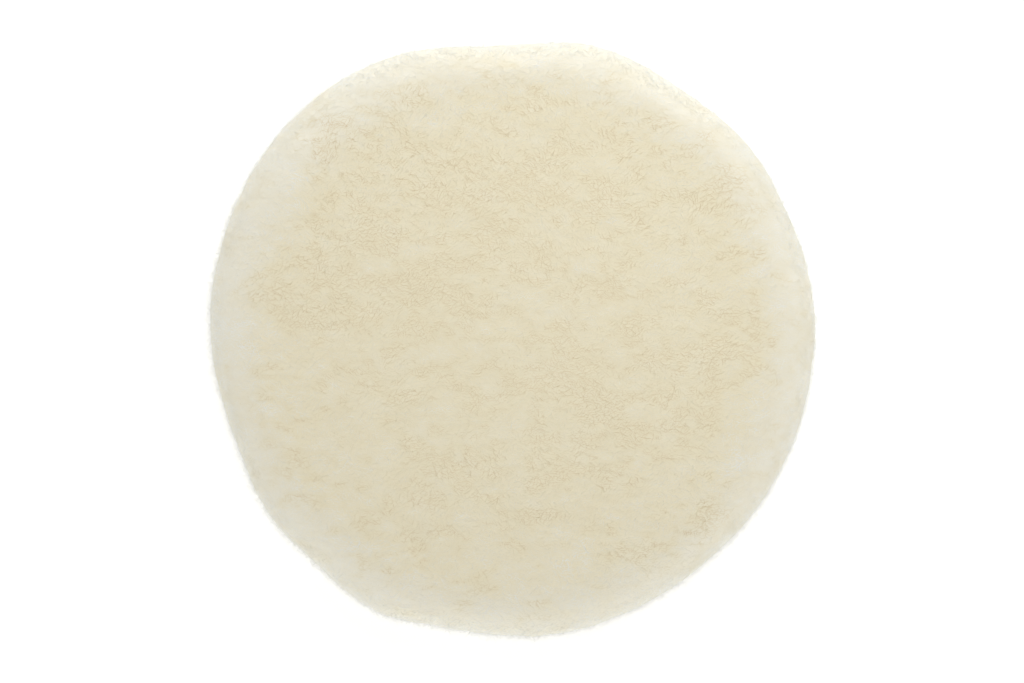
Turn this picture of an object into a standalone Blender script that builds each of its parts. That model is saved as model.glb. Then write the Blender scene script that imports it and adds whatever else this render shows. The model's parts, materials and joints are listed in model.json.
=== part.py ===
"""Lambswool polishing pad: sheepskin sewn to a backing cloth, on a foam cushion with a loop face.

Metres, +Z up.  The pad lies on its loop face (z = 0) with the wool upwards.  The Z axis goes through
the middle of the wool's outline.
"""

import math

import bmesh
import bpy

# Driving dimensions ---------------------------------------------------------------------------
WOOL_RADIUS = 0.0800            # mean radius of the wool's outline
STACK_RADIUS = 0.0735           # loop cloth, foam, backing cloth and hide
SEAM_RADIUS = 0.0665            # ring of stitches through hide and backing cloth
STITCHES = 60
GAP = 0.0003                    # left between two pieces that lie on each other

VELOUR_THICKNESS = 0.0014
LOOP_CLOTH_THICKNESS = 0.0006
FILM_THICKNESS = 0.0003
FOAM_THICKNESS = 0.0050
BACKING_CLOTH_THICKNESS = 0.0008
HIDE_THICKNESS = 0.0020
PILE_HEIGHT = 0.0120            # wool above the hide, at the crown

# The wool's outside
CROWN_DROP = 0.0006             # how much lower the crown is where the roll-over starts
ROLL_WIDTH = 0.0150             # radial width of the roll-over at the rim
ROLL_POWER = 2.3                # 2 is an ellipse, more is squarer
WIDEST_HEIGHT = 0.0115          # where the wool reaches its full radius
LIP_HEIGHT = 0.0045             # the wool's lower edge, beside the stack
LIP_TUCK = 0.0032               # how far the lower edge curls in from the full radius
# Bulges and flats of the hand-cut skin: direction in degrees, half width in degrees, height
LOBES = (
    (8, 12, 0.0007),
    (38, 14, 0.0012),
    (72, 9, 0.0013),
    (94, 12, -0.0025),
    (132, 32, 0.0029),
    (198, 13, -0.0020),
    (227, 9, -0.0011),
    (244, 6, 0.0009),
    (260, 12, -0.0017),
    (306, 33, -0.0018),
)

# The seam
THREAD_RADIUS = 0.0002
NEEDLE_LEG_OFFSET = 0.0007      # each leg of a stitch lies this far beside the bobbin thread
HOLE_LENGTH = 0.0012            # along the seam
HOLE_WIDTH = 0.0024             # across the seam
FILM_SEAM_MARGIN = 0.0030       # the inner glue films end this far inside the seam

SEGMENTS = 72                   # sides of a round piece
ROLL_STEPS = 7
TUCK_STEPS = 3
WELD_DISTANCE = 0.00001
SHARP_ANGLE = math.radians(35)

# Heights of the undersides, stacked upwards from the loop face -----------------------------------
Z_VELOUR = 0.0
Z_LOOP_CLOTH = Z_VELOUR + VELOUR_THICKNESS + GAP
Z_LOOP_FILM = Z_LOOP_CLOTH + LOOP_CLOTH_THICKNESS + GAP
Z_FOAM = Z_LOOP_FILM + FILM_THICKNESS + GAP
Z_FOAM_FILM = Z_FOAM + FOAM_THICKNESS + GAP
Z_BACKING_CLOTH = Z_FOAM_FILM + FILM_THICKNESS + GAP
Z_HIDE_FILM = Z_BACKING_CLOTH + BACKING_CLOTH_THICKNESS + GAP
Z_HIDE = Z_HIDE_FILM + FILM_THICKNESS + GAP
Z_WOOL = Z_HIDE + HIDE_THICKNESS + GAP
Z_CROWN = Z_WOOL + PILE_HEIGHT

# Heights in the seam
Z_NEEDLE_TOP = Z_HIDE + HIDE_THICKNESS + GAP + THREAD_RADIUS
Z_BOBBIN = Z_BACKING_CLOTH - GAP - THREAD_RADIUS
Z_NEEDLE_LOW = Z_BOBBIN - 2 * THREAD_RADIUS - GAP
SEAM_GROOVE_HALF = NEEDLE_LEG_OFFSET + THREAD_RADIUS + GAP
Z_WOOL_GROOVE = Z_NEEDLE_TOP + THREAD_RADIUS + GAP
Z_FOAM_GROOVE = Z_NEEDLE_LOW - THREAD_RADIUS - GAP

# name: colour, roughness
MATERIALS = {
    "wool": ((0.76, 0.68, 0.50), 0.95),
    "hide": ((0.72, 0.58, 0.42), 0.80),
    "cotton": ((0.74, 0.71, 0.63), 0.90),
    "thread": ((0.80, 0.77, 0.68), 0.60),
    "foam": ((0.78, 0.72, 0.55), 0.90),
    "glue": ((0.70, 0.60, 0.38), 0.35),
    "loop_cloth": ((0.55, 0.55, 0.53), 0.75),
    "velour": ((0.62, 0.62, 0.60), 0.95),
}


def clear_scene():
    for old in list(bpy.data.objects):
        bpy.data.objects.remove(old, do_unlink=True)


def new_collection(name):
    collection = bpy.data.collections.new(name)
    bpy.context.scene.collection.children.link(collection)
    return collection


def make_material(name):
    colour, roughness = MATERIALS[name]
    material = bpy.data.materials.new(name)
    material.use_nodes = True
    shader = material.node_tree.nodes["Principled BSDF"]
    shader.inputs["Base Color"].default_value = (*colour, 1.0)
    shader.inputs["Roughness"].default_value = roughness
    shader.inputs["Metallic"].default_value = 0.0
    return material


def add_object(name, data, collection, material=None):
    obj = bpy.data.objects.new(name, data)
    collection.objects.link(obj)
    if material:
        data.materials.append(material)
    return obj


def turned_mesh(name, profile):
    """A mesh turned about Z from (radius, height) points that run down the outer side."""
    outline = bpy.data.meshes.new(name)
    points = [(radius, 0.0, height) for radius, height in profile]
    edges = [(i, i + 1) for i in range(len(points) - 1)]
    outline.from_pydata(points, edges, [])
    blank = add_object(name, outline, bpy.context.scene.collection)
    screw = blank.modifiers.new("turn", "SCREW")
    screw.axis = "Z"
    screw.steps = SEGMENTS
    screw.render_steps = SEGMENTS
    screw.use_merge_vertices = True
    screw.merge_threshold = WELD_DISTANCE
    depsgraph = bpy.context.evaluated_depsgraph_get()
    mesh = bpy.data.meshes.new_from_object(blank.evaluated_get(depsgraph))
    mesh.name = name
    bpy.data.objects.remove(blank, do_unlink=True)
    mesh.shade_smooth()
    mesh.set_sharp_from_angle(angle=SHARP_ANGLE)
    return mesh


def disc_mesh(name, radius, bottom, thickness, edge=0.0):
    """A flat disc whose rim is chamfered by edge."""
    top = bottom + thickness
    profile = [(0.0, top), (radius - edge, top)]
    if edge:
        profile += [(radius, top - edge), (radius, bottom + edge)]
    profile += [(radius - edge, bottom), (0.0, bottom)]
    return turned_mesh(name, profile)


def angle_between(first, second):
    """The shortest way round between two directions, in degrees."""
    return abs((first - second + 180.0) % 360.0 - 180.0)


def outline_radius(degrees):
    """The wool's radius in one direction: a circle with the hand-cut skin's bulges and flats."""
    radius = WOOL_RADIUS
    for direction, half_width, height in LOBES:
        away = angle_between(degrees, direction) / half_width
        radius += height * math.exp(-away * away)
    return radius


def outline_middle():
    """The middle of the box round the wool's outline."""
    points = []
    for degrees in range(360):
        radius = outline_radius(degrees)
        turn = math.radians(degrees)
        points.append((radius * math.cos(turn), radius * math.sin(turn)))
    xs = [x for x, y in points]
    ys = [y for x, y in points]
    return (min(xs) + max(xs)) / 2, (min(ys) + max(ys)) / 2


def wool_profile():
    """The round wool blank: level crown, rolled rim, and a lip that curls in below."""
    roll_radius = WOOL_RADIUS - ROLL_WIDTH
    roll_height = Z_CROWN - CROWN_DROP
    profile = [(0.0, Z_CROWN), (roll_radius / 2, Z_CROWN - CROWN_DROP / 4)]
    for step in range(ROLL_STEPS + 1):
        turn = math.pi / 2 * step / ROLL_STEPS
        out = math.sin(turn) ** (2 / ROLL_POWER)
        up = math.cos(turn) ** (2 / ROLL_POWER) if step < ROLL_STEPS else 0.0
        radius = roll_radius + ROLL_WIDTH * out
        profile.append((radius, WIDEST_HEIGHT + (roll_height - WIDEST_HEIGHT) * up))
    for step in range(1, TUCK_STEPS + 1):
        turn = math.pi / 2 * step / TUCK_STEPS
        radius = WOOL_RADIUS - LIP_TUCK * (1 - math.cos(turn))
        profile.append((radius, WIDEST_HEIGHT - (WIDEST_HEIGHT - LIP_HEIGHT) * math.sin(turn)))
    profile.append((0.0, LIP_HEIGHT))
    return profile


def shape_outline(mesh):
    """Stretch the round blank's rim out to the hand-cut outline."""
    roll_radius = WOOL_RADIUS - ROLL_WIDTH
    middle_x, middle_y = outline_middle()
    for vertex in mesh.vertices:
        radius = math.hypot(vertex.co.x, vertex.co.y)
        if radius < roll_radius:
            continue
        degrees = math.degrees(math.atan2(vertex.co.y, vertex.co.x))
        share = (radius - roll_radius) / ROLL_WIDTH
        target = roll_radius + share * (outline_radius(degrees) - roll_radius)
        vertex.co.x = vertex.co.x * target / radius - middle_x * share
        vertex.co.y = vertex.co.y * target / radius - middle_y * share
    mesh.update()


def seam_groove_profile(bottom, top):
    """A ring over the seam, as (radius, height) points of a closed profile."""
    inner = SEAM_RADIUS - SEAM_GROOVE_HALF
    outer = SEAM_RADIUS + SEAM_GROOVE_HALF
    return [(outer, top), (outer, bottom), (inner, bottom), (inner, top)]


def recess_mesh(name):
    """The room inside the wool for the hide, the cloth, the foam and the upper side of the seam."""
    groove = seam_groove_profile(Z_WOOL, Z_WOOL_GROOVE)
    wall = STACK_RADIUS + GAP
    profile = [(0.0, Z_WOOL), groove[2], groove[3], groove[0], groove[1]]
    profile += [(wall, Z_WOOL), (wall, 0.0), (0.0, 0.0)]
    return turned_mesh(name, profile)


def foam_mesh(name):
    """The foam disc with the seam's groove in its top."""
    top = Z_FOAM + FOAM_THICKNESS
    groove = seam_groove_profile(Z_FOAM_GROOVE, top)
    profile = [(0.0, top), groove[3], groove[2], groove[1], groove[0]]
    profile += [(STACK_RADIUS, top), (STACK_RADIUS, Z_FOAM), (0.0, Z_FOAM)]
    return turned_mesh(name, profile)


def stitch_holes_mesh(name):
    """One upright block for each stitch hole, long enough for the hide and the cloth."""
    mesh = bpy.data.meshes.new(name)
    blocks = bmesh.new()
    bottom = Z_BACKING_CLOTH - GAP
    top = Z_WOOL
    for stitch in range(STITCHES):
        turn = 2 * math.pi * stitch / STITCHES
        block = bmesh.ops.create_cube(blocks, size=1.0)
        for vertex in block["verts"]:
            out = SEAM_RADIUS + vertex.co.x * HOLE_WIDTH
            along = vertex.co.y * HOLE_LENGTH
            height = bottom if vertex.co.z < 0 else top
            x = out * math.cos(turn) - along * math.sin(turn)
            y = out * math.sin(turn) + along * math.cos(turn)
            vertex.co = (x, y, height)
    blocks.to_mesh(mesh)
    blocks.free()
    return mesh


def cut(obj, cutter):
    boolean = obj.modifiers.new("cut", "BOOLEAN")
    boolean.operation = "DIFFERENCE"
    boolean.solver = "EXACT"
    boolean.object = cutter


def add_cutter(name, mesh, collection):
    cutter = add_object(name, mesh, collection)
    cutter.hide_render = True
    cutter.display_type = "WIRE"
    return cutter


def thread_curve(name, points):
    """A closed thread through the points."""
    curve = bpy.data.curves.new(name, "CURVE")
    curve.dimensions = "3D"
    curve.bevel_depth = THREAD_RADIUS
    curve.bevel_resolution = 2
    spline = curve.splines.new("POLY")
    spline.points.add(len(points) - 1)
    for target, point in zip(spline.points, points):
        target.co = (*point, 1.0)
    spline.use_cyclic_u = True
    return curve


def needle_points():
    """Along the top of the hide, down outside the bobbin thread, under it, and up inside it."""
    outer = SEAM_RADIUS + NEEDLE_LEG_OFFSET
    inner = SEAM_RADIUS - NEEDLE_LEG_OFFSET
    stitch_path = ((outer, Z_NEEDLE_TOP), (outer, Z_NEEDLE_LOW), (inner, Z_NEEDLE_LOW), (inner, Z_NEEDLE_TOP))
    points = []
    for stitch in range(STITCHES):
        turn = 2 * math.pi * stitch / STITCHES
        for radius, height in stitch_path:
            points.append((radius * math.cos(turn), radius * math.sin(turn), height))
    return points


def bobbin_points():
    """A ring under the backing cloth that every stitch passes round."""
    points = []
    for step in range(SEGMENTS):
        turn = 2 * math.pi * step / SEGMENTS
        points.append((SEAM_RADIUS * math.cos(turn), SEAM_RADIUS * math.sin(turn), Z_BOBBIN))
    return points


def build_wool(parts, cutters, materials):
    mesh = turned_mesh("wool_fleece", wool_profile())
    shape_outline(mesh)
    wool = add_object("wool_fleece", mesh, parts, materials["wool"])
    cut(wool, add_cutter("wool_recess_cutter", recess_mesh("wool_recess_cutter"), cutters))


def build_sewn_layers(parts, cutters, materials):
    """Hide and backing cloth, with the stitch holes through both."""
    holes = add_cutter("stitch_hole_cutter", stitch_holes_mesh("stitch_hole_cutter"), cutters)
    hide = disc_mesh("sheepskin_hide", STACK_RADIUS, Z_HIDE, HIDE_THICKNESS, edge=HIDE_THICKNESS / 4)
    cloth = disc_mesh("backing_cloth", STACK_RADIUS, Z_BACKING_CLOTH, BACKING_CLOTH_THICKNESS)
    cut(add_object("sheepskin_hide", hide, parts, materials["hide"]), holes)
    cut(add_object("backing_cloth", cloth, parts, materials["cotton"]), holes)


def build_seam(parts, materials):
    needle = thread_curve("seam_needle_thread", needle_points())
    bobbin = thread_curve("seam_bobbin_thread", bobbin_points())
    add_object("seam_needle_thread", needle, parts, materials["thread"])
    add_object("seam_bobbin_thread", bobbin, parts, materials["thread"])


def build_glue_films(parts, materials):
    inner = SEAM_RADIUS - SEAM_GROOVE_HALF - FILM_SEAM_MARGIN
    outer = STACK_RADIUS - FILM_SEAM_MARGIN / 2
    films = (
        ("hide_glue_film", inner, Z_HIDE_FILM),
        ("foam_glue_film", inner, Z_FOAM_FILM),
        ("loop_glue_film", outer, Z_LOOP_FILM),
    )
    for name, radius, bottom in films:
        add_object(name, disc_mesh(name, radius, bottom, FILM_THICKNESS), parts, materials["glue"])


def build_cushion(parts, materials):
    add_object("foam_cushion", foam_mesh("foam_cushion"), parts, materials["foam"])


def build_loop_layers(parts, materials):
    cloth = disc_mesh("loop_base_cloth", STACK_RADIUS, Z_LOOP_CLOTH, LOOP_CLOTH_THICKNESS)
    velour = disc_mesh("loop_velour", STACK_RADIUS, Z_VELOUR, VELOUR_THICKNESS, edge=VELOUR_THICKNESS / 4)
    add_object("loop_base_cloth", cloth, parts, materials["loop_cloth"])
    add_object("loop_velour", velour, parts, materials["velour"])


def main():
    clear_scene()
    parts = new_collection("polishing_pad")
    cutters = new_collection("cutters")
    materials = {name: make_material(name) for name in MATERIALS}
    build_loop_layers(parts, materials)
    build_cushion(parts, materials)
    build_glue_films(parts, materials)
    build_sewn_layers(parts, cutters, materials)
    build_seam(parts, materials)
    build_wool(parts, cutters, materials)


main()
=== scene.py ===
"""Looks of the lambswool polishing pad: a fleece of modelled fibres, and the layers of its back.

Metres, +Z up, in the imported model's frame.  Every place comes from the CAD nodes' boxes and meshes.
"""

import json
import math

import bpy
import numpy as np
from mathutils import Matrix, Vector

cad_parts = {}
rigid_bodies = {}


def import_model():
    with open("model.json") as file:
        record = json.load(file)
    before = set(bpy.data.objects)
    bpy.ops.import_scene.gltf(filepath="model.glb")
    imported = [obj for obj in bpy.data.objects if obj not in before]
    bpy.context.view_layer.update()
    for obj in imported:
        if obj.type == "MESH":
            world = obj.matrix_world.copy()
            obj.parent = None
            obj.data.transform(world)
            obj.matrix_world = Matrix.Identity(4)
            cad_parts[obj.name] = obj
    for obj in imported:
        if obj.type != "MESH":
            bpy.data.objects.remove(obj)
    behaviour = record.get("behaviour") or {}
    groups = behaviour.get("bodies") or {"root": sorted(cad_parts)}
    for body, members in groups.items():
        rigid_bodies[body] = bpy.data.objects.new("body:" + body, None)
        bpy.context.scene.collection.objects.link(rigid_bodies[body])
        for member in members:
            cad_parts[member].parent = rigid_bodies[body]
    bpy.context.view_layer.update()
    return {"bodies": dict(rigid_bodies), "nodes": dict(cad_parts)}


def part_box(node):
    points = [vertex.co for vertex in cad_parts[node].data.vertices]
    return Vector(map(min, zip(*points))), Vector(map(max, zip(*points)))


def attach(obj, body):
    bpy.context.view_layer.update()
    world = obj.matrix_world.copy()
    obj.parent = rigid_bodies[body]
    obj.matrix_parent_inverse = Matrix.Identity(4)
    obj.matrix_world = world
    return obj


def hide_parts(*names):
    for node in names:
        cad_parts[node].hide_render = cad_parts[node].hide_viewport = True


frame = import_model()

BODY = "root" if "root" in frame["bodies"] else sorted(frame["bodies"])[0]
MM = 0.001
NOISE_TABLE = 4096
HASH_PRIMES = (73856093, 19349663, 83492791)

# Fineness of the full model, and of the quick one -------------------------------------------------
CORE_GRID = (290, 160)          # quads across the core
FOAM_SIDES = (960, 240)
CLOTH_SIDES = (1200, 300)
MAT_SIDES = (600, 240)
MAT_RINGS = (0.6 * MM, 1.2 * MM)
QUICK_DIVISOR = 4

# The view: straight down on the wool --------------------------------------------------------------
VIEW_WIDTH = 0.2709             # what the image spans at the pad's widest level
VIEW_CENTRE = (-0.16 * MM, -0.46 * MM)
LENS = 100.0                    # millimetres
SENSOR = 36.0                   # millimetres

# The light: a white tent, brighter low down at its front and back, and one soft lamp --------------
TOP_LIGHT = 0.422
END_LIGHT = 4.6                 # added at the horizon, straight to the front and to the back
END_POWER = 3.0                 # how fast the light of the two ends fades upwards
LAMP_PLACE = (0.062, 0.142, 0.318)
LAMP_SIZE = 0.16                # across the lamp's disc
LAMP_WATTS = 0.376
FLOOR_RADIUS = 2.5
FLOOR_GREY = 0.9
FLOOR_GLOW = 0.45

# The wool's outside, as the CAD solid has it ------------------------------------------------------
ROLL_WIDTH = 15.0 * MM
ROLL_POWER = 2.3
CROWN_DROP = 0.6 * MM
LIP_TUCK = 3.2 * MM
CORE_INSET = 0.45 * MM          # the matted body of the wool lies this far inside the fibre tips
RIM_LEVEL = 0.1 * MM            # a vertex this near to the widest level is on the outline
SLOPE_STEP = 0.2 * MM           # down the slope, for the surface's direction
TURN_STEP = 0.02                # round the rim, in radians, for the same
LEVEL_REACH = 1.0 * MM          # so near to the crown the surface is taken as level round it
# Painted light: over this band the core's colour is painted paler towards the rim
CORE_PAINTED_LIGHT_BAND = 20.0 * MM      # where the core's colour turns paler, inwards from the rim

# Relief of the matted wool: height and size of the bumps in millimetres, squeeze along X, seed
FACE_RELIEF = (
    (0.10, 7.0, 0.7, 11),
    (0.07, 3.0, 0.6, 12),
    (0.05, 1.3, 0.7, 13),
)
RIM_RELIEF = (
    (0.18, 10.0, 1.0, 16),
    (0.17, 5.5, 1.0, 14),
    (0.04, 2.6, 1.0, 15),
)

# One crease where the nap parts
CREASE_PLACE = (-24.0 * MM, -51.0 * MM)
CREASE_LENGTH = 13.0 * MM
CREASE_WIDTH = 2.0 * MM
CREASE_SLANT = math.radians(10.0)
CREASE_DEPTH = 0.18 * MM
CREASE_SWAY = 0.7 * MM
CREASE_WAVE = 2.2 * MM
CREASE_FLOOR = 15.0 * MM        # below this height the wool is out of the crease's reach

# Fibres: lengths, radii and crimp in millimetres, each drawn between two bounds -------------------
NAP_FIBRES = 62000
NAP_POINTS = 9
NAP_LENGTH = (1.8, 3.4)
NAP_RADIUS = (0.038, 0.062)
NAP_CRIMP = (0.05, 0.13)
NAP_WAVES = (2.0, 3.6)
NAP_LIFT = 0.012
NAP_RIM_CALM = 0.8              # share of the lift that is gone at the rim
NAP_SUNK = 0.03                 # how deep a fibre's two ends go down
NAP_SPREAD = 0.7                # radians, about the heading of the lock
NAP_FLATNESS = 0.18             # a fibre lying on the nap is sunk in it: its height over its width
LOCKS = ((0.8, 6.0, 21), (0.5, 2.2, 22))    # radians of turn, size in millimetres, seed

FLUFF_FIBRES = 15000
FLUFF_POINTS = 5
FLUFF_START = 0.75              # share of the roll that has no fluff
FLUFF_LENGTH = (1.4, 3.8)
FLUFF_RADIUS = (0.026, 0.040)
FLUFF_STAND = (0.35, 1.0)       # how steeply a fibre stands; few stand straight
FLUFF_BEND = (0.5, 1.5)
FLUFF_SWAY = 0.08
FLUFF_ROOT = 0.1                # how deep the roots lie
FLUFF_FLATNESS = 0.7

STRAND_SIDES = 3
STRAND_TAPER = ((0.0, 0.2, 0.7, 1.0), (0.7, 1.0, 0.9, 0.35))    # shares of length, of radius
FACES_PER_PIECE = 95000
GOLDEN_TURN = math.pi * (3.0 - math.sqrt(5.0))

# The back -----------------------------------------------------------------------------------------
THREAD_RADIUS = 0.2 * MM
GAP = 0.3 * MM                  # between two CAD pieces
TOUCH = 0.12 * MM               # how far a soft layer swells into the gap beside it
MAT_SHARE = 0.5                 # how much of the velour's thickness is the room of its loops
LOOPS = 16000
LOOP_POINTS = 6
LOOP_WIDTH = (0.7, 1.3)         # millimetres
LOOP_RADIUS = (0.07, 0.11)      # millimetres
LOOP_REACH = (0.55, 0.95)       # share of the room below the mat
LOOP_LEAN = 0.35                # millimetres
VELOUR_COLOURS = (
    (0.66, 0.66, 0.64),
    (0.74, 0.74, 0.72),
    (0.80, 0.80, 0.79),
    (0.86, 0.86, 0.85),
)
BAND_SCALE = 0.314              # the scale at which a wave texture has one band to the metre

# The wool's colour: tones from deep and warm, through the face, to pale, the pale end used as painted
# light at the rim
WOOL_COLOURS = (
    (0.0, (0.765, 0.658, 0.432)),
    (0.4, (0.850, 0.776, 0.569)),
    (0.75, (0.888, 0.858, 0.740)),
    (1.0, (0.918, 0.928, 0.895)),
)
SHADES = 13
HUES = ((1.008, 0.994, 1.0), (0.992, 1.004, 1.0))    # even shades lean to pink, odd ones to green
FACE_TONE = 0.40
TONE_PATCHES = (                # weight, size in millimetres, seed
    (0.44, 11.0, 31),
    (0.74, 3.8, 32),
    (0.60, 1.4, 33),
    (0.12, 0.5, 34),
)
PATCH_SQUEEZE = (0.6, 1.0, 1.0)         # the patches are longer along X
PALE_GAIN = 0.48                # pale patches are weaker than warm ones
WARM_GAIN = 1.40
FIBRE_TONE = 0.05               # how much one fibre differs from the next
# Painted shade: how much the tone drops in the crease
CREASE_PAINTED_SHADE = 0.45
CORE_CONTRAST = 0.3             # how far the core's tone wanders
# Painted light: added to the tone at these distances inwards from the very edge, so the rim is
# painted paler
RIM_DEPTHS = (0.0, 2.0 * MM, 6.0 * MM, 14.0 * MM, 24.0 * MM)
RIM_PAINTED_LIGHT = (0.70, 0.52, 0.34, 0.16, 0.02)
RIM_CALM = 0.22                 # how much of the patches is left at the very edge
RIM_CALM_BAND = (2.0 * MM, 16.0 * MM)   # inwards from the edge, where the patches come back


def noise(points, size, seed):
    """Smooth noise from -1 to 1 at each point, with bumps about size across."""
    table = np.random.default_rng(seed).uniform(-1.0, 1.0, NOISE_TABLE)
    cell = points / size
    corner = np.floor(cell).astype(np.int64)
    part = cell - corner
    part = part * part * (3.0 - 2.0 * part)
    total = np.zeros(len(points))
    for step in np.ndindex(2, 2, 2):
        spot = corner + np.array(step)
        mixed = np.bitwise_xor.reduce(spot * HASH_PRIMES, axis=1)
        weight = np.ones(len(points))
        for axis in range(3):
            weight *= part[:, axis] if step[axis] else 1.0 - part[:, axis]
        total += weight * table[mixed % NOISE_TABLE]
    return total


def smooth_step(value, low, high):
    """0 below low, 1 above high, and a smooth ramp between them."""
    share = ((value - low) / (high - low)).clip(0, 1)
    return share * share * (3 - 2 * share)


def unit(vectors):
    """Vectors of length 1."""
    return vectors / np.maximum(np.linalg.norm(vectors, axis=-1, keepdims=True), 1e-12)


def wool_colour(tone):
    """The wool's colour for a tone from 0, deep and warm, to 1, pale."""
    tones = [mark for mark, _ in WOOL_COLOURS]
    channels = zip(*(colour for _, colour in WOOL_COLOURS))
    return tuple(float(np.interp(tone, tones, channel)) for channel in channels)


# Materials ----------------------------------------------------------------------------------------
def new_material(name, roughness, **sockets):
    """A material, its node tree and its shader, with the sockets set."""
    material = bpy.data.materials.new(name)
    material.use_nodes = True
    shader = material.node_tree.nodes["Principled BSDF"]
    shader.inputs["Roughness"].default_value = roughness
    for socket, value in sockets.items():
        shader.inputs[socket.replace("_", " ")].default_value = value
    return material, material.node_tree, shader


def math_node(tree, operation, *values):
    """A math node with the values of its inputs; None leaves one for a link."""
    node = tree.nodes.new("ShaderNodeMath")
    node.operation = operation
    for index, value in enumerate(values):
        if value is not None:
            node.inputs[index].default_value = value
    return node


def object_place(tree, squeeze=(1, 1, 1)):
    """Where a point lies on its object, squeezed along the axes."""
    place = tree.nodes.new("ShaderNodeTexCoord")
    mapping = tree.nodes.new("ShaderNodeMapping")
    mapping.inputs["Scale"].default_value = squeeze
    tree.links.new(place.outputs["Object"], mapping.inputs["Vector"])
    return mapping.outputs["Vector"]


def noise_field(tree, place, scale, detail, distortion=0.0):
    """A noise texture's output, from 0 to 1."""
    field = tree.nodes.new("ShaderNodeTexNoise")
    field.inputs["Scale"].default_value = scale
    field.inputs["Detail"].default_value = detail
    field.inputs["Distortion"].default_value = distortion
    tree.links.new(place, field.inputs["Vector"])
    return field.outputs["Fac"]


def colour_ramp(tree, shader, share, stops):
    """Base colour from a share, through stops of a place and a colour."""
    ramp = tree.nodes.new("ShaderNodeValToRGB")
    while len(ramp.color_ramp.elements) < len(stops):
        ramp.color_ramp.elements.new(0.5)
    for element, (mark, colour) in zip(ramp.color_ramp.elements, stops):
        element.position = mark
        element.color = (*colour, 1.0)
    tree.links.new(share, ramp.inputs["Fac"])
    tree.links.new(ramp.outputs["Color"], shader.inputs["Base Color"])


def colour_noise(tree, shader, place, low, high, scale, detail=4.0):
    """Base colour that wanders between two colours."""
    share = noise_field(tree, place, scale, detail)
    colour_ramp(tree, shader, share, ((0.3, low), (0.7, high)))


def bump(tree, shader, height_socket, distance):
    """Relief that the mesh is too coarse for."""
    node = tree.nodes.new("ShaderNodeBump")
    node.inputs["Distance"].default_value = distance
    node.inputs["Strength"].default_value = 1.0
    tree.links.new(height_socket, node.inputs["Height"])
    tree.links.new(node.outputs["Normal"], shader.inputs["Normal"])


def wool_core_material(middle, rim):
    """Matted wool below the fibre tips: painted light makes it paler towards the rim, with a fine
    fibrous bump.
    """
    material, tree, shader = new_material("wool_core", 0.95)
    links = tree.links
    place = object_place(tree)
    flat = tree.nodes.new("ShaderNodeVectorMath")
    flat.operation = "MULTIPLY"
    flat.inputs[1].default_value = (1.0, 1.0, 0.0)
    links.new(place, flat.inputs[0])
    reach = tree.nodes.new("ShaderNodeVectorMath")
    reach.operation = "LENGTH"
    links.new(flat.outputs["Vector"], reach.inputs[0])
    # Painted light: the tone rises from the middle to the rim, so the core is painted paler at the
    # rim
    lift = tree.nodes.new("ShaderNodeMapRange")
    lift.interpolation_type = "SMOOTHSTEP"
    lift.inputs["From Min"].default_value = middle
    lift.inputs["From Max"].default_value = rim
    lift.inputs["To Min"].default_value = FACE_TONE - CORE_CONTRAST / 2
    lift.inputs["To Max"].default_value = FACE_TONE + CORE_CONTRAST / 2
    links.new(reach.outputs["Value"], lift.inputs["Value"])
    squeezed = object_place(tree, PATCH_SQUEEZE)
    tone = math_node(tree, "MULTIPLY_ADD", None, CORE_CONTRAST, None)
    links.new(noise_field(tree, squeezed, 260.0, 5.0), tone.inputs[0])
    links.new(lift.outputs["Result"], tone.inputs[2])
    colour_ramp(tree, shader, tone.outputs["Value"], WOOL_COLOURS)
    strands = noise_field(tree, squeezed, 1400.0, 3.0, distortion=1.5)
    bump(tree, shader, strands, 0.10 * MM)
    return material


def wool_fibre_material(index):
    """One shade of fibre; the paler it is, the less it leans to pink or green."""
    material, _, shader = new_material(f"wool_fibre_{index}", 0.9)
    tone = index / (SHADES - 1)
    colour = np.array(wool_colour(tone)) * (1.0 + (1.0 - tone) * (np.array(HUES[index % 2]) - 1.0))
    shader.inputs["Base Color"].default_value = (*colour, 1.0)
    return material


# Meshes -------------------------------------------------------------------------------------------
def mesh_object(name, vertices, faces, materials, face_slots=None):
    """An object from numpy arrays; each array of faces has one number of corners."""
    mesh = bpy.data.meshes.new(name)
    corners = np.concatenate([part.ravel() for part in faces]).astype(np.int32)
    sizes = np.concatenate([np.full(len(part), part.shape[1]) for part in faces]).astype(np.int32)
    starts = np.concatenate([[0], np.cumsum(sizes)[:-1]]).astype(np.int32)
    mesh.vertices.add(len(vertices))
    mesh.vertices.foreach_set("co", np.ascontiguousarray(vertices, np.float32).ravel())
    mesh.loops.add(len(corners))
    mesh.loops.foreach_set("vertex_index", corners)
    mesh.polygons.add(len(sizes))
    mesh.polygons.foreach_set("loop_start", starts)
    for material in materials:
        mesh.materials.append(material)
    if face_slots is not None:
        mesh.polygons.foreach_set("material_index", face_slots.astype(np.int32))
    mesh.update(calc_edges=True)
    mesh.shade_smooth()
    obj = bpy.data.objects.new(name, mesh)
    bpy.context.scene.collection.objects.link(obj)
    return obj


# Stage --------------------------------------------------------------------------------------------
def aim(obj, target):
    """Turn an object's -Z axis to a target."""
    direction = np.array(target) - np.array(obj.location)
    yaw = math.atan2(direction[1], direction[0]) - math.pi / 2
    pitch = math.atan2(math.hypot(direction[0], direction[1]), -direction[2])
    obj.rotation_euler = (pitch, 0.0, yaw)


def make_camera(level):
    """The photo's view; level is the height at which the image spans VIEW_WIDTH."""
    camera = bpy.data.objects.new("photo_camera", bpy.data.cameras.new("photo_camera"))
    camera.data.lens = LENS
    camera.data.sensor_width = SENSOR
    camera.location = (*VIEW_CENTRE, level + VIEW_WIDTH * LENS / SENSOR)
    bpy.context.scene.collection.objects.link(camera)
    bpy.context.scene.camera = camera


def soft_box(name, place, target, size, watts):
    """A round soft lamp."""
    light = bpy.data.lights.new(name, "AREA")
    light.shape = "DISK"
    light.size = size
    light.energy = watts
    lamp = bpy.data.objects.new(name, light)
    lamp.location = place
    aim(lamp, target)
    bpy.context.scene.collection.objects.link(lamp)


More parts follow.
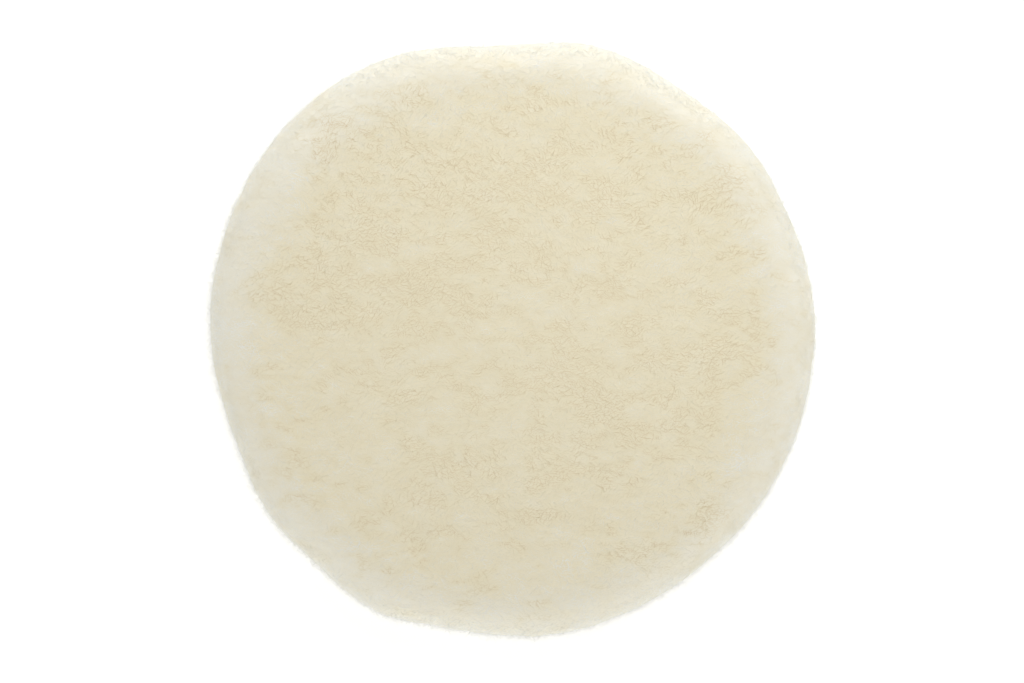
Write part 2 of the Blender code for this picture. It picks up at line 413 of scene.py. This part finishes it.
def make_sky():
    """The white tent: even from above, with a glow low down in the front and the back."""
    world = bpy.data.worlds.new("studio")
    world.use_nodes = True
    bpy.context.scene.world = world
    tree = world.node_tree
    background = tree.nodes.get("Background") or tree.nodes.new("ShaderNodeBackground")
    output = tree.nodes.get("World Output") or tree.nodes.new("ShaderNodeOutputWorld")
    background.inputs["Color"].default_value = (1.0, 1.0, 1.0, 1.0)
    sky = tree.nodes.new("ShaderNodeTexCoord")
    parts = tree.nodes.new("ShaderNodeSeparateXYZ")
    low = math_node(tree, "SUBTRACT", 1.0)
    low.use_clamp = True
    near = math_node(tree, "POWER", None, END_POWER)
    depth = math_node(tree, "POWER", None, 2.0)
    ends = math_node(tree, "MULTIPLY", None, END_LIGHT)
    glow = math_node(tree, "MULTIPLY_ADD", None, None, TOP_LIGHT)
    links = tree.links
    links.new(sky.outputs["Generated"], parts.inputs["Vector"])
    links.new(parts.outputs["Z"], low.inputs[1])
    links.new(low.outputs["Value"], near.inputs[0])
    links.new(parts.outputs["Y"], depth.inputs[0])
    links.new(depth.outputs["Value"], ends.inputs[0])
    links.new(near.outputs["Value"], glow.inputs[0])
    links.new(ends.outputs["Value"], glow.inputs[1])
    links.new(glow.outputs["Value"], background.inputs["Strength"])
    links.new(background.outputs["Background"], output.inputs["Surface"])


def make_stage():
    """A white table that glows a little, as acrylic lit from below, under soft light."""
    make_sky()
    soft_box("key_softbox", LAMP_PLACE, (0.0, 0.0, 0.0), LAMP_SIZE, LAMP_WATTS)
    bpy.ops.mesh.primitive_circle_add(vertices=96, radius=FLOOR_RADIUS, fill_type="NGON")
    floor = bpy.context.object
    floor.name = "floor"
    material, _, shader = new_material("floor_white", 0.6)
    shader.inputs["Base Color"].default_value = (FLOOR_GREY, FLOOR_GREY, FLOOR_GREY, 1.0)
    shader.inputs["Emission Color"].default_value = (1.0, 1.0, 1.0, 1.0)
    shader.inputs["Emission Strength"].default_value = FLOOR_GLOW
    floor.data.materials.append(material)


# Shape of the wool --------------------------------------------------------------------------------
class WoolShape:
    """The wool's outer surface, by arc length from the crown and direction round the Z axis."""

    def __init__(self):
        low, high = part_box("wool_fleece")
        mesh = frame["nodes"]["wool_fleece"].data
        points = np.array([v.co for v in mesh.vertices])
        radii = np.hypot(points[:, 0], points[:, 1])
        turns = np.arctan2(points[:, 1], points[:, 0])
        widest = points[:, 2][radii.argmax()]
        rim = np.abs(points[:, 2] - widest) < RIM_LEVEL
        order = np.argsort(turns[rim])
        self.rim_turns = turns[rim][order]
        self.rim_radii = radii[rim][order]
        self.mean = self.rim_radii.mean()
        self.low = low.z
        self.crown = high.z
        self.widest = widest
        self.roll = self.mean - ROLL_WIDTH
        self.profile_r, self.profile_z = self.round_profile()
        steps = np.hypot(np.diff(self.profile_r), np.diff(self.profile_z))
        self.lengths = np.concatenate([[0.0], np.cumsum(steps)])
        self.length = self.lengths[-1]

    def round_profile(self):
        """Radius and height along the round wool: level crown, rolled rim, tucked lip."""
        flat_r = np.linspace(0.0, self.roll, 40)[:-1]
        flat_z = self.crown - CROWN_DROP * (flat_r / self.roll) ** 2
        turn = np.linspace(0.0, math.pi / 2, 60)
        out = np.sin(turn) ** (2 / ROLL_POWER)
        up = np.cos(turn).clip(0) ** (2 / ROLL_POWER)
        roll_r = self.roll + ROLL_WIDTH * out
        roll_z = self.widest + (self.crown - CROWN_DROP - self.widest) * up
        tuck = np.linspace(0.0, math.pi / 2, 30)[1:]
        tuck_r = self.mean - LIP_TUCK * (1 - np.cos(tuck))
        tuck_z = self.widest - (self.widest - self.low) * np.sin(tuck)
        return np.concatenate([flat_r, roll_r, tuck_r]), np.concatenate([flat_z, roll_z, tuck_z])

    def rim_radius(self, turn):
        """The outline's radius in each direction."""
        return np.interp(turn, self.rim_turns, self.rim_radii, period=2 * math.pi)

    def at(self, along, turn, inset=0.0):
        """Points on the surface, moved inwards by inset."""
        radius = np.interp(along, self.lengths, self.profile_r)
        height = np.interp(along, self.lengths, self.profile_z)
        share = (radius - self.roll).clip(0) / ROLL_WIDTH
        radius = radius + share * (self.rim_radius(turn) - self.mean)
        points = np.stack([radius * np.cos(turn), radius * np.sin(turn), height], axis=-1)
        if np.any(inset):
            points = points - self.normal(along, turn) * np.reshape(inset, (-1, 1))
        return points

    def normal(self, along, turn):
        """Directions straight out of the wool."""
        before = self.at((along - SLOPE_STEP).clip(0), turn)
        after = self.at((along + SLOPE_STEP).clip(None, self.length), turn)
        down = unit(after - before)
        round_rim = unit(self.at(along, turn + TURN_STEP) - self.at(along, turn - TURN_STEP))
        still = along < LEVEL_REACH
        round_rim[still] = np.stack([-np.sin(turn), np.cos(turn), 0 * turn], axis=-1)[still]
        return unit(np.cross(down, round_rim))


def crease(points):
    """How much of the crease is at each point, from 0 to 1."""
    dx = points[:, 0] - CREASE_PLACE[0]
    dy = points[:, 1] - CREASE_PLACE[1]
    along = dx * math.cos(CREASE_SLANT) + dy * math.sin(CREASE_SLANT)
    across = -dx * math.sin(CREASE_SLANT) + dy * math.cos(CREASE_SLANT)
    across = across + CREASE_SWAY * np.sin(along / CREASE_WAVE)
    share = np.exp(-((2 * along / CREASE_LENGTH) ** 2) - (2 * across / CREASE_WIDTH) ** 2)
    return share * (points[:, 2] > CREASE_FLOOR)


def nap_height(points, rim_share):
    """How far the matted surface stands above or below its mean, in metres."""
    height = 0.0
    for weight, size, squeeze, seed in FACE_RELIEF:
        height = height + weight * noise(points * (squeeze, 1.0, 1.0), size * MM, seed)
    for weight, size, squeeze, seed in RIM_RELIEF:
        height = height + rim_share * weight * noise(points * (squeeze, 1.0, 1.0), size * MM, seed)
    return height * MM - CREASE_DEPTH * crease(points)


def disc_grid(count):
    """A square grid bent into a disc of radius 1: its points, quads, and rim vertices in order."""
    line = np.linspace(-1.0, 1.0, count + 1)
    u, v = np.meshgrid(line, line, indexing="ij")
    wide = np.abs(u) > np.abs(v)
    radius = np.where(wide, u, v)
    safe = np.where(radius == 0, 1.0, radius)
    turn = np.where(wide, math.pi / 4 * v / safe, math.pi / 2 - math.pi / 4 * u / safe)
    x = (radius * np.cos(turn)).ravel()
    y = (radius * np.sin(turn)).ravel()
    number = np.arange((count + 1) ** 2).reshape(count + 1, count + 1)
    corners = [number[:-1, :-1], number[1:, :-1], number[1:, 1:], number[:-1, 1:]]
    quads = np.stack(corners, -1).reshape(-1, 4)
    rim = np.concatenate([number[:-1, 0], number[-1, :-1], number[:0:-1, -1], number[0, :0:-1]])
    return np.stack([x, y], -1), quads, rim


def build_core(wool, count):
    """The matted body of the fleece: a closed cup over the hide, displaced by the nap."""
    disc, quads, rim = disc_grid(count)
    along = np.hypot(disc[:, 0], disc[:, 1]) * wool.length
    turn = np.arctan2(disc[:, 1], disc[:, 0])
    points = wool.at(along, turn, CORE_INSET)
    rim_share = smooth_step(along, wool.roll, wool.roll + ROLL_WIDTH)
    normal = wool.normal(along, turn)
    points = points + normal * nap_height(points, rim_share)[:, None]
    # The inside: up the lip's inner wall and across, above the hide and the stitches
    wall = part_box("sheepskin_hide")[1].x + GAP
    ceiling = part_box("seam_needle_thread")[1].z + GAP
    rim_turn = turn[rim]
    vertices = [points]
    faces = [quads]
    last = rim
    inside = ((wall, points[rim, 2].mean()), (wall, ceiling), (wall * 0.5, ceiling))
    for radius, height in inside:
        ring = np.arange(len(rim)) + sum(len(part) for part in vertices)
        x, y = radius * np.cos(rim_turn), radius * np.sin(rim_turn)
        vertices.append(np.stack([x, y, 0 * rim_turn + height], -1))
        faces.append(np.stack([last, np.roll(last, -1), np.roll(ring, -1), ring], -1)[:, ::-1])
        last = ring
    middle = sum(len(part) for part in vertices)
    vertices.append(np.array([[0.0, 0.0, ceiling]]))
    faces.append(np.stack([last, np.roll(last, -1), np.full(len(last), middle)], -1)[:, ::-1])
    return np.concatenate(vertices), faces


# Fibres -------------------------------------------------------------------------------------------
def scatter(wool, count, start, end, rng):
    """Arc length and direction of points spread evenly over the wool between two arc lengths."""
    mesh_along = np.linspace(start, end, 400)
    reach = np.interp(mesh_along, wool.lengths, wool.profile_r)
    share = np.concatenate([[0.0], np.cumsum((reach[1:] + reach[:-1]) / 2)])
    order = (np.arange(count) + 0.5) / count
    along = np.interp(order * share[-1], share, mesh_along)
    turn = np.arange(count) * GOLDEN_TURN + rng.uniform(-0.01, 0.01, count)
    return along, turn % (2 * math.pi)


def lay(wool, along, turn, offset, rise):
    """Paths over the matted wool, from offsets in the unrolled plane and heights above it."""
    count, points, _ = offset.shape
    out = np.stack([np.cos(turn), np.sin(turn)], axis=-1)[:, None, :]
    side = np.stack([-np.sin(turn), np.cos(turn)], axis=-1)[:, None, :]
    reach = np.interp(along, wool.lengths, wool.profile_r)
    widen = (along / np.maximum(reach, MM)).clip(1.0)[:, None, None]
    go_out = (offset * out).sum(-1, keepdims=True)
    go_side = (offset * side).sum(-1, keepdims=True)
    flat = (along[:, None, None] + go_out) * out + widen * go_side * side
    flat = flat.reshape(-1, 2)
    path_along = np.hypot(flat[:, 0], flat[:, 1]).clip(0, wool.length)
    path_turn = np.arctan2(flat[:, 1], flat[:, 0])
    outward = wool.normal(path_along, path_turn)
    place = wool.at(path_along, path_turn) - outward * CORE_INSET
    rim_share = smooth_step(path_along, wool.roll, wool.roll + ROLL_WIDTH)
    place = place + outward * (nap_height(place, rim_share) + rise.ravel())[:, None]
    return place.reshape(count, points, 3), outward.reshape(count, points, 3)


def crimped(go, sway, heading):
    """Offsets in the unrolled plane: so far along each fibre's heading, and so far beside it."""
    cos = np.cos(heading)[:, None]
    sin = np.sin(heading)[:, None]
    return np.stack([go * cos - sway * sin, go * sin + sway * cos], -1)


def nap_fibres(wool, count, rng):
    """Crimped fibres matted into the face and the rim, most of them lying across the pad."""
    along, turn = scatter(wool, count, 0.0, wool.length, rng)
    roots = wool.at(along, turn)
    lock = sum(weight * noise(roots, size * MM, seed) for weight, size, seed in LOCKS)
    spread = rng.normal(0.0, NAP_SPREAD, count)
    end_for_end = np.where(rng.random(count) < 0.5, math.pi, 0.0)
    heading = lock + spread + end_for_end
    length = rng.uniform(*NAP_LENGTH, count) * MM
    calm = 1.0 - NAP_RIM_CALM * smooth_step(along, wool.roll, wool.roll + ROLL_WIDTH)
    lift = rng.uniform(0.0, NAP_LIFT, count) * MM * calm
    crimp = rng.uniform(*NAP_CRIMP, count) * MM
    waves = rng.uniform(*NAP_WAVES, count)
    phase = rng.uniform(0.0, 2 * math.pi, count)
    step = np.linspace(0.0, 1.0, NAP_POINTS)
    go = length[:, None] * (step - 0.5)
    sway = crimp[:, None] * np.sin(2 * math.pi * waves[:, None] * step + phase[:, None])
    rise = lift[:, None] * np.sin(math.pi * step) - NAP_SUNK * MM * (1 - 2 * step) ** 4
    path, up = lay(wool, along, turn, crimped(go, sway, heading), rise)
    return path, up, rng.uniform(*NAP_RADIUS, count) * MM


def rim_fluff(wool, count, rng):
    """Short fine fibres that stand out of the rim all round and soften its edge."""
    start = wool.roll + FLUFF_START * ROLL_WIDTH
    along, turn = scatter(wool, count, start, wool.length - 0.5 * MM, rng)
    heading = rng.uniform(0.0, 2 * math.pi, count)
    length = rng.uniform(*FLUFF_LENGTH, count)[:, None] * MM
    stand = rng.uniform(*FLUFF_STAND, count)[:, None] ** 1.5
    bend = rng.uniform(*FLUFF_BEND, count)[:, None]
    step = np.linspace(0.0, 1.0, FLUFF_POINTS)
    go = length * (0.45 * step + 0.35 * bend * step**2)
    sway = FLUFF_SWAY * MM * np.sin(5.0 * step + heading[:, None] * 7.0)
    rise = length * stand * (0.9 * step - 0.25 * bend * step**2) - FLUFF_ROOT * MM
    path, up = lay(wool, along, turn, crimped(go, sway, heading), rise)
    return path, up, rng.uniform(*FLUFF_RADIUS, count) * MM


def strand_mesh(name, path, up, thick, slots, materials, flatness):
    """Closed three-sided tubes along the paths, thinner to both ends."""
    count, points, _ = path.shape
    forward = unit(np.gradient(path, axis=1))
    sideways = unit(np.cross(forward, up))
    above = np.cross(sideways, forward)
    taper = np.interp(np.linspace(0, 1, points), *STRAND_TAPER)
    radius = thick[:, None] * taper
    rings = []
    for side in range(STRAND_SIDES):
        turn = 2 * math.pi * side / STRAND_SIDES + math.pi / 2
        offset = sideways * math.cos(turn) + above * (math.sin(turn) * flatness)
        rings.append(path + offset * radius[..., None])
    vertices = np.stack(rings, axis=2).reshape(-1, 3)
    number = np.arange(count * points * STRAND_SIDES).reshape(count, points, STRAND_SIDES)
    here = number[:, :-1]
    there = number[:, 1:]
    corners = [here, np.roll(here, -1, 2), np.roll(there, -1, 2), there]
    walls = np.stack(corners, -1).reshape(-1, 4)
    ends = np.concatenate([number[:, 0, ::-1], number[:, -1]])
    wall_slots = np.repeat(slots[:, :-1].ravel(), STRAND_SIDES)
    face_slots = np.concatenate([wall_slots, slots[:, 0], slots[:, -1]])
    return mesh_object(name, vertices, [walls, ends], materials, face_slots)


def build_strands(kind, node, strands, slots, materials, flatness, rng):
    """Strands that stand for a node, shared out over several pieces."""
    path, up, thick = strands
    per_piece = FACES_PER_PIECE // (path.shape[1] * STRAND_SIDES)
    order = rng.permutation(len(path))
    pieces = math.ceil(len(path) / per_piece)
    for piece, chosen in enumerate(np.array_split(order, pieces)):
        name = f"{kind}_{piece:02d}"
        shape = path[chosen], up[chosen], thick[chosen]
        tuft = strand_mesh(name, *shape, slots[chosen], materials, flatness)
        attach(tuft, BODY)
        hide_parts(node)


def wool_tone(wool, path, rng):
    """The shade at every point of every fibre: warm and pale patches, painted light that makes the
    rim pale, and painted shade in the crease.
    """
    count, points, _ = path.shape
    place = path.reshape(-1, 3)
    stretched = place * PATCH_SQUEEZE
    tone = 0.0
    for weight, size, seed in TONE_PATCHES:
        tone = tone + weight * noise(stretched, size * MM, seed)
    own = np.repeat(rng.normal(0.0, FIBRE_TONE, count), points)
    tone = np.where(tone > 0, PALE_GAIN, WARM_GAIN) * tone + own
    reach = np.hypot(place[:, 0], place[:, 1])
    inwards = wool.rim_radius(np.arctan2(place[:, 1], place[:, 0])) - reach
    tone *= RIM_CALM + (1.0 - RIM_CALM) * smooth_step(inwards, *RIM_CALM_BAND)
    # Painted shade: the fibres are painted darker and warmer in the crease
    tone -= CREASE_PAINTED_SHADE * crease(place)
    # Painted light: the tone rises towards the edge, so the rim is painted paler
    tone += FACE_TONE + np.interp(inwards, RIM_DEPTHS, RIM_PAINTED_LIGHT)
    shade = (tone * (SHADES - 1)).round().clip(0, SHADES - 1).astype(int)
    return shade.reshape(count, points)


# The layers of the back ---------------------------------------------------------------------------
def turned(profile, count):
    """A closed solid turned about the Z axis, from its lower to its upper point on the axis."""
    profile = np.array(profile)
    turn = 2 * math.pi * np.arange(count) / count
    radius = profile[1:-1, 0][:, None]
    height = np.broadcast_to(profile[1:-1, 1][:, None], (len(radius), count))
    rings = np.stack([radius * np.cos(turn), radius * np.sin(turn), height], axis=-1)
    number = np.arange(rings.shape[0] * count).reshape(-1, count)
    here, there = number[:-1], number[1:]
    corners = [here, np.roll(here, -1, 1), np.roll(there, -1, 1), there]
    quads = np.stack(corners, -1).reshape(-1, 4)
    low, high = number.size, number.size + 1
    first = np.stack([np.full(count, low), np.roll(number[0], -1), number[0]], -1)
    last = np.stack([np.full(count, high), number[-1], np.roll(number[-1], -1)], -1)
    ends = [(0.0, 0.0, profile[0, 1]), (0.0, 0.0, profile[-1, 1])]
    return np.concatenate([rings.reshape(-1, 3), ends]), [quads, np.concatenate([first, last])]


def disc_profile(radius, low, high, edge, step):
    """A disc's section, with rounded edges and rings one step apart on its lower face."""
    below = [(reach, low) for reach in np.arange(0.0, radius - edge, step)]
    lower = []
    for part in range(4):
        turn = math.pi / 2 * part / 3
        reach = radius - edge + edge * math.sin(turn)
        lower.append((reach, low + edge - edge * math.cos(turn)))
    upper = [(reach, low + high - height) for reach, height in reversed(lower)]
    return below + lower + upper + [(0.5 * radius, high), (0.0, high)]


def fray(points, radius, depth):
    """Move the points beyond a radius inwards, each by its depth in millimetres."""
    side = np.hypot(points[:, 0], points[:, 1]) > radius
    points -= unit(points * (1.0, 1.0, 0.0)) * (depth * side * MM)[:, None]


def build_foam(quick):
    """The foam disc: open pores on its cut side, and the groove of the seam in its top."""
    low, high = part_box("foam_cushion")
    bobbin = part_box("seam_bobbin_thread")[1].x - THREAD_RADIUS
    needle_low, needle_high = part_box("seam_needle_thread")
    half = needle_high.x - bobbin + GAP
    floor = needle_low.z - GAP
    low.z -= TOUCH
    edge = 0.25 * MM
    wall = [(high.x, z) for z in np.linspace(low.z + edge, high.z - edge, 13)]
    inner, outer = bobbin - half, bobbin + half
    groove = [(outer, high.z), (outer, floor), (inner, floor), (inner, high.z)]
    below = [(0.0, low.z), (0.5 * high.x, low.z), (high.x - edge, low.z)]
    above = [(high.x - edge, high.z), *groove, (0.5 * high.x, high.z), (0.0, high.z)]
    points, faces = turned([*below, *wall, *above], FOAM_SIDES[quick])
    pits = 0.5 * noise(points, 1.1 * MM, 41).clip(0) + 0.3 * noise(points, 0.6 * MM, 42).clip(0)
    fray(points, high.x - 0.5 * edge, pits)
    foam = mesh_object("foam_pad", points, faces, [foam_material()])
    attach(foam, BODY)
    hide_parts("foam_cushion")


def build_loop_cloth(quick):
    """The knitted cloth that holds the loops: a little uneven, with cut yarns along its edge."""
    low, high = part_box("loop_base_cloth")
    low.z -= TOUCH
    high.z += TOUCH
    profile = disc_profile(high.x, low.z, high.z, 0.2 * MM, 3.0 * MM)
    points, faces = turned(profile, CLOTH_SIDES[quick])
    yarns = noise(points * (1.0, 1.0, 0.3), 0.9 * MM, 43)
    fray(points, high.x - 0.3 * MM, 0.12 + 0.12 * yarns)
    cloth = mesh_object("loop_knit_cloth", points, faces, [knit_material()])
    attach(cloth, BODY)
    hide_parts("loop_base_cloth")


def loop_arches(radius, mat, height, count, rng):
    """Small loops of yarn that hang from the mat: an arch each, turned every way and leaning."""
    reach = radius * np.sqrt((np.arange(count) + 0.5) / count)
    turn = np.arange(count) * GOLDEN_TURN
    root = np.stack([reach * np.cos(turn), reach * np.sin(turn), np.full(count, mat)], -1)
    heading = rng.uniform(0.0, math.pi, count) + 1.2 * noise(root, 6.0 * MM, 51)
    ahead = np.stack([np.cos(heading), np.sin(heading), 0 * heading], -1)
    aside = np.stack([-np.sin(heading), np.cos(heading), 0 * heading], -1)
    width = rng.uniform(*LOOP_WIDTH, count)[:, None] * MM
    depth = rng.uniform(*LOOP_REACH, count)[:, None] * height
    lean = rng.normal(0.0, LOOP_LEAN, count)[:, None] * MM
    step = np.linspace(0.0, 1.0, LOOP_POINTS)
    arch = np.sin(math.pi * step)
    go = width * (step - 0.5 - 0.15 * np.sin(2 * math.pi * step))
    path = root[:, None, :] + ahead[:, None, :] * go[..., None]
    path = path + aside[:, None, :] * (lean * arch)[..., None]
    path[..., 2] -= depth * arch
    thick = rng.uniform(*LOOP_RADIUS, count) * MM
    return path, np.broadcast_to(aside[:, None, :], path.shape), thick


def build_velour(quick):
    """The loop velour: a napped mat with thousands of small loops on its face."""
    low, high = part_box("loop_velour")
    thickness = high.z - low.z
    high.z += TOUCH
    mat = low.z + MAT_SHARE * thickness
    profile = disc_profile(high.x, mat, high.z, 0.25 * MM, MAT_RINGS[quick])
    points, faces = turned(profile, MAT_SIDES[quick])
    under = points[:, 2] < mat + 0.1 * MM
    relief = 0.10 * noise(points, 2.2 * MM, 44) + 0.06 * noise(points, 0.9 * MM, 45)
    points[under, 2] += relief[under] * MM
    fray(points, high.x - 0.3 * MM, 0.15 + 0.15 * noise(points, 1.0 * MM, 46))
    nap = mesh_object("velour_mat", points, faces, [mat_material()])
    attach(nap, BODY)
    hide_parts("loop_velour")
    rng = np.random.default_rng(9)
    count = LOOPS // QUICK_DIVISOR if quick else LOOPS
    room = mat - low.z - TOUCH
    strands = loop_arches(high.x - 0.5 * MM, mat + 0.05 * MM, room, count, rng)
    shades = (len(VELOUR_COLOURS) * rng.random(count)).astype(int)
    slots = np.repeat(shades[:, None], LOOP_POINTS, axis=1)
    materials = []
    for index, colour in enumerate(VELOUR_COLOURS):
        material, _, shader = new_material(f"velour_loop_{index}", 0.75, Sheen_Weight=0.3)
        shader.inputs["Base Color"].default_value = (*colour, 1.0)
        materials.append(material)
    build_strands("velour_loops", "loop_velour", strands, slots, materials, 1.0, rng)


def foam_material():
    """Open-celled foam, a little yellowed, with dark pores."""
    material, tree, shader = new_material("foam_open_cell", 0.9)
    place = object_place(tree)
    colour_noise(tree, shader, place, (0.66, 0.58, 0.38), (0.84, 0.78, 0.60), 900.0, detail=2.0)
    cells = tree.nodes.new("ShaderNodeTexVoronoi")
    cells.inputs["Scale"].default_value = 1500.0
    tree.links.new(place, cells.inputs["Vector"])
    bump(tree, shader, cells.outputs["Distance"], 0.25 * MM)
    return material


def fibrous_material(name, roughness, low, high, patches, grain, relief):
    """Cloth, hide or glue without a regular pattern: patchy colour and a fine uneven grain."""
    material, tree, shader = new_material(name, roughness)
    place = object_place(tree)
    colour_noise(tree, shader, place, low, high, patches)
    bump(tree, shader, noise_field(tree, place, grain, 4.0), relief)
    return material


def yarn_bands(tree, place, direction, scale, wander, detail):
    """Parallel bands, as of yarns or plies side by side."""
    bands = tree.nodes.new("ShaderNodeTexWave")
    bands.bands_direction = direction
    bands.inputs["Scale"].default_value = scale
    bands.inputs["Distortion"].default_value = wander
    bands.inputs["Detail"].default_value = detail
    tree.links.new(place, bands.inputs["Vector"])
    return bands.outputs["Fac"]


def woven_material(name, roughness, low, high, pitch, relief, wander=0.5):
    """Yarns that cross at a pitch, with patchy colour."""
    material, tree, shader = new_material(name, roughness)
    place = object_place(tree)
    colour_noise(tree, shader, place, low, high, 0.4 / pitch)
    cloth = math_node(tree, "MAXIMUM")
    for index, direction in enumerate(("X", "Y")):
        bands = yarn_bands(tree, place, direction, BAND_SCALE / pitch, wander, 1.0)
        tree.links.new(bands, cloth.inputs[index])
    bump(tree, shader, cloth.outputs["Value"], relief)
    return material


def knit_material():
    low, high = (0.66, 0.66, 0.64), (0.80, 0.80, 0.78)
    return woven_material("polyester_knit", 0.8, low, high, 0.8 * MM, 0.15 * MM, 2.0)


def mat_material():
    low, high = (0.58, 0.58, 0.56), (0.78, 0.78, 0.76)
    return fibrous_material("velour_nap", 0.85, low, high, 500.0, 2400.0, 0.15 * MM)


def twisted_material(name, low, high):
    """Thread of twisted plies."""
    material, tree, shader = new_material(name, 0.6, Sheen_Weight=0.2)
    place = object_place(tree)
    colour_noise(tree, shader, place, low, high, 1500.0)
    plies = yarn_bands(tree, place, "DIAGONAL", 1200.0, 1.0, 2.0)
    bump(tree, shader, plies, 0.05 * MM)
    return material


def dress_nodes():
    """Materials of the layers that keep their CAD shape."""
    low, high = (0.62, 0.52, 0.30), (0.80, 0.72, 0.50)
    glue = fibrous_material("contact_glue", 0.35, low, high, 120.0, 700.0, 0.10 * MM)
    low, high = (0.60, 0.47, 0.32), (0.76, 0.64, 0.47)
    hide = fibrous_material("sheepskin_suede", 0.8, low, high, 160.0, 1800.0, 0.12 * MM)
    low, high = (0.70, 0.66, 0.55), (0.82, 0.79, 0.69)
    cloth = woven_material("cotton_twill", 0.85, low, high, 0.6 * MM, 0.12 * MM)
    thread = twisted_material("sewing_thread", (0.76, 0.73, 0.63), (0.90, 0.87, 0.78))
    looks = {
        "sheepskin_hide": hide,
        "backing_cloth": cloth,
        "hide_glue_film": glue,
        "foam_glue_film": glue,
        "loop_glue_film": glue,
        "seam_needle_thread": thread,
        "seam_bobbin_thread": thread,
    }
    for node, material in looks.items():
        slots = frame["nodes"][node].data.materials
        slots.clear()
        slots.append(material)


def build_fleece(wool, quick):
    """The matted core, and the fibres of the nap and of the rim over it."""
    vertices, faces = build_core(wool, CORE_GRID[quick])
    matted = wool_core_material(wool.mean - CORE_PAINTED_LIGHT_BAND, wool.mean)
    core = mesh_object("fleece_core", vertices, faces, [matted])
    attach(core, BODY)
    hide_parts("wool_fleece")
    rng = np.random.default_rng(5)
    shades = [wool_fibre_material(index) for index in range(SHADES)]
    kinds = (
        ("fleece_nap", nap_fibres, NAP_FIBRES, NAP_FLATNESS),
        ("fleece_fluff", rim_fluff, FLUFF_FIBRES, FLUFF_FLATNESS),
    )
    for kind, grow, count, flatness in kinds:
        strands = grow(wool, count // QUICK_DIVISOR if quick else count, rng)
        slots = wool_tone(wool, strands[0], rng)
        build_strands(kind, "wool_fleece", strands, slots, shades, flatness, rng)


def main():
    bpy.context.scene.view_settings.view_transform = "Standard"
    wool = WoolShape()
    make_camera(wool.widest)
    make_stage()
    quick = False
    build_fleece(wool, quick)
    build_foam(quick)
    build_loop_cloth(quick)
    build_velour(quick)
    dress_nodes()


main()
